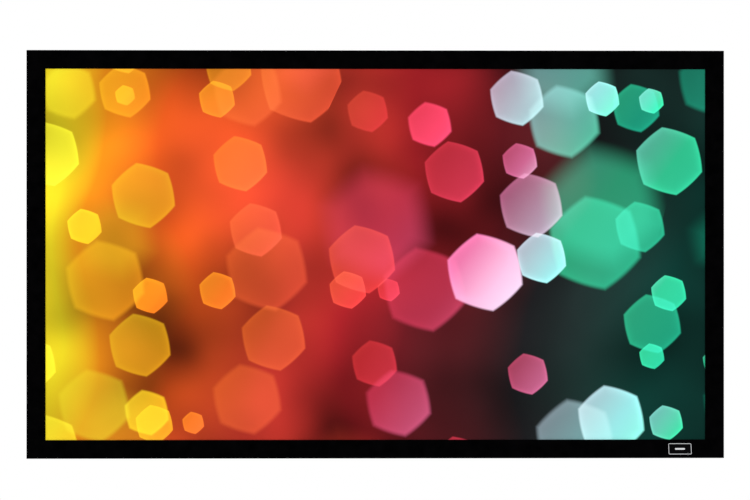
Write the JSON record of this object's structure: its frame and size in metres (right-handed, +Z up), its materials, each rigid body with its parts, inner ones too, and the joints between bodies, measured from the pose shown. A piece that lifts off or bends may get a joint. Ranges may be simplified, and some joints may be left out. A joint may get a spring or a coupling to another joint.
{
  "type": "fixed frame projector screen",
  "caption": "Wide flat screen stretched by coil springs inside a bevelled black frame, with a centre bar and slotted rails that hang on wall brackets.",
  "frame": {"origin": "centre of the whole object's box, on the middle of the picture", "axes": "+Z up, +X to the viewer's right, the picture faces -Y and the wall is at +Y"},
  "size_m": [2.334, 0.0394, 1.365],
  "materials": {
    "black_aluminium": "matte",
    "velvet": "matte",
    "screen_vinyl": "matte",
    "glass_fibre": "satin",
    "spring_steel": "satin",
    "zinc_plate": "satin",
    "bar_aluminium": "satin",
    "black_steel": "satin",
    "badge_metal": "satin"
  },
  "bodies": {
    "root": {"rail_top_left": "black_aluminium", "rail_top_right": "black_aluminium", "rail_bottom_left": "black_aluminium", "rail_bottom_right": "black_aluminium", "rail_left": "black_aluminium", "rail_right": "black_aluminium", "screen_sheet": "screen_vinyl", "tension_rod_top_left": "glass_fibre", "tension_rod_top_right": "glass_fibre", "tension_rod_bottom_left": "glass_fibre", "tension_rod_bottom_right": "glass_fibre", "tension_rod_left": "glass_fibre", "tension_rod_right": "glass_fibre", "tension_spring_top_1": "spring_steel", "tension_spring_top_2": "spring_steel", "tension_spring_top_3": "spring_steel", "tension_spring_top_4": "spring_steel", "tension_spring_top_5": "spring_steel", "tension_spring_top_6": "spring_steel", "tension_spring_top_7": "spring_steel", "tension_spring_top_8": "spring_steel", "tension_spring_top_9": "spring_steel", "tension_spring_top_10": "spring_steel", "tension_spring_bottom_1": "spring_steel", "tension_spring_bottom_2": "spring_steel", "tension_spring_bottom_3": "spring_steel", "tension_spring_bottom_4": "spring_steel", "tension_spring_bottom_5": "spring_steel", "tension_spring_bottom_6": "spring_steel", "tension_spring_bottom_7": "spring_steel", "tension_spring_bottom_8": "spring_steel", "tension_spring_bottom_9": "spring_steel", "tension_spring_bottom_10": "spring_steel", "tension_spring_left_1": "spring_steel", "tension_spring_left_2": "spring_steel", "tension_spring_left_3": "spring_steel", "tension_spring_left_4": "spring_steel", "tension_spring_left_5": "spring_steel", "tension_spring_left_6": "spring_steel", "tension_spring_right_1": "spring_steel", "tension_spring_right_2": "spring_steel", "tension_spring_right_3": "spring_steel", "tension_spring_right_4": "spring_steel", "tension_spring_right_5": "spring_steel", "tension_spring_right_6": "spring_steel", "corner_plate_top_left": "zinc_plate", "corner_plate_top_right": "zinc_plate", "corner_plate_bottom_left": "zinc_plate", "corner_plate_bottom_right": "zinc_plate", "splice_plate_top": "zinc_plate", "splice_plate_bottom": "zinc_plate", "support_bar": "bar_aluminium", "bar_clip_top": "black_steel", "bar_clip_bottom": "black_steel", "wall_bracket_top_left": "black_steel", "wall_bracket_top_right": "black_steel", "wall_bracket_bottom_left": "black_steel", "wall_bracket_bottom_right": "black_steel", "badge_plate": "badge_metal"}
  },
  "joints": []
}
